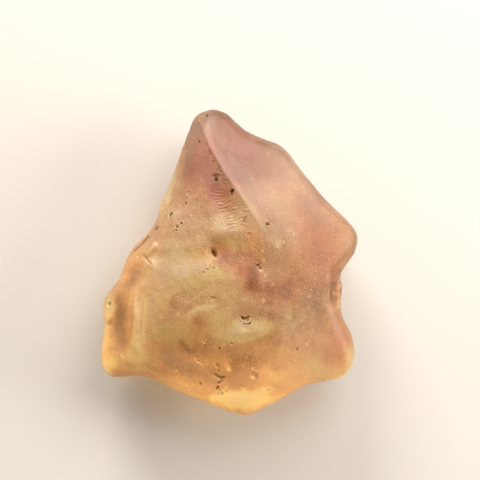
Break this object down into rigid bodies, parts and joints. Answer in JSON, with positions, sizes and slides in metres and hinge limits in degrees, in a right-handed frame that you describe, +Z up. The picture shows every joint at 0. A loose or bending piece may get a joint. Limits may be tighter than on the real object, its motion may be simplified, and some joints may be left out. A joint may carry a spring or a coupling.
{
  "type": "raw libyan desert glass",
  "caption": "Irregular, roughly triangular lump of raw natural silica glass, pale honey yellow and see-through, with a satin, pitted, wind-worn skin and a flat underside.",
  "frame": {"origin": "middle of the lump's bounding box in plan, on the surface that it rests on", "axes": "+Z up from the flat underside, +Y towards the pointed end, +X to the right seen from above with the pointed end up"},
  "size_m": [0.0278, 0.033, 0.0114],
  "materials": {
    "natural_glass": "see-through pale honey-yellow silica glass with a satin, finely pitted, wind-worn skin"
  },
  "bodies": {
    "root": {"desert_glass": "natural_glass"}
  },
  "joints": []
}
